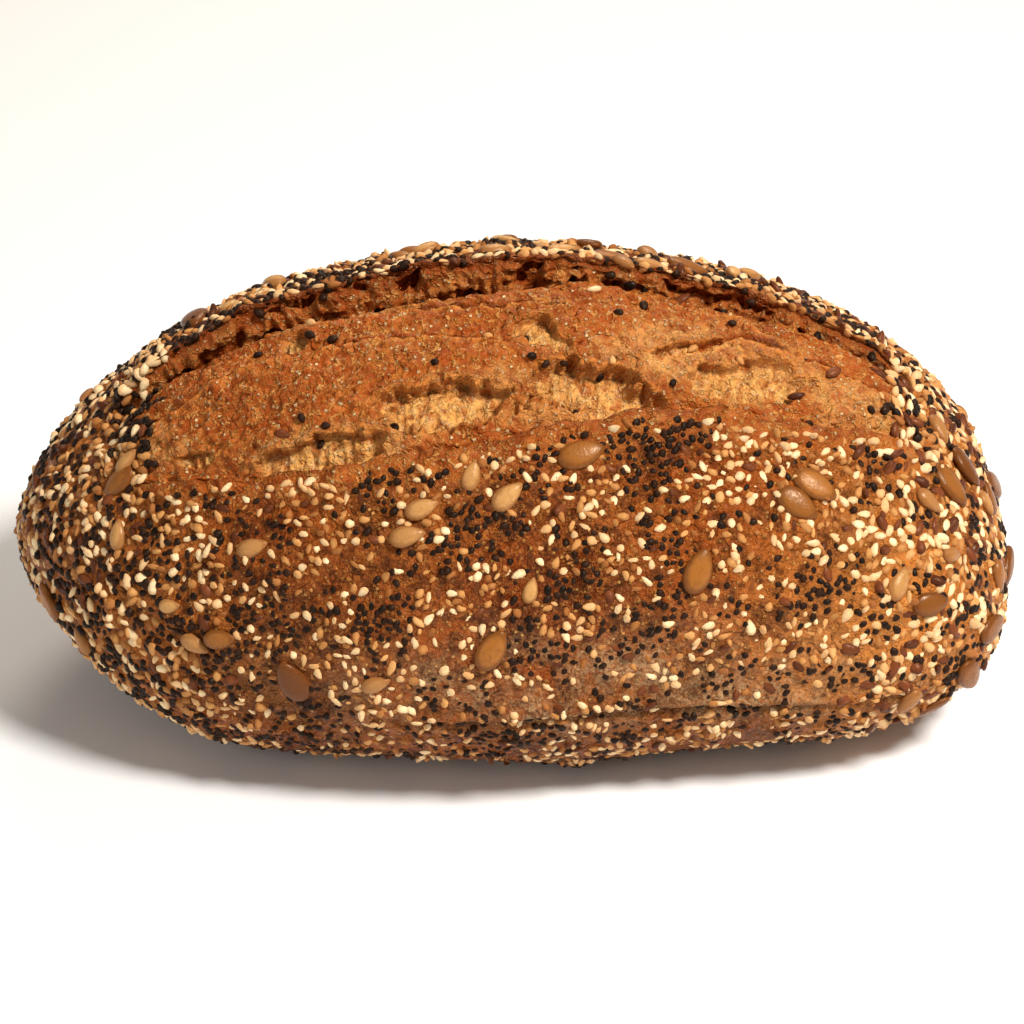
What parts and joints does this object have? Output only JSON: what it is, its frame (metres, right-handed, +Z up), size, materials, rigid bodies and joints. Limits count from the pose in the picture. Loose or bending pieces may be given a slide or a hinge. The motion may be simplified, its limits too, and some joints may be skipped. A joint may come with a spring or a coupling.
{
  "type": "seeded sourdough loaf",
  "caption": "An oval hearth-baked sourdough loaf with a flat underside, a long open score with a raised ear, and a blistered crust covered in mixed seeds.",
  "frame": {"origin": "on the flat underside, at the bottom centre of the bounding box", "axes": "+X along the loaf's length towards its blunt end, +Y towards the uncut side behind the ear, +Z up through the crown"},
  "size_m": [0.268, 0.1578, 0.1224],
  "materials": {
    "crust": "matte with a slight sheen"
  },
  "bodies": {
    "root": {"loaf": "crust"}
  },
  "joints": []
}
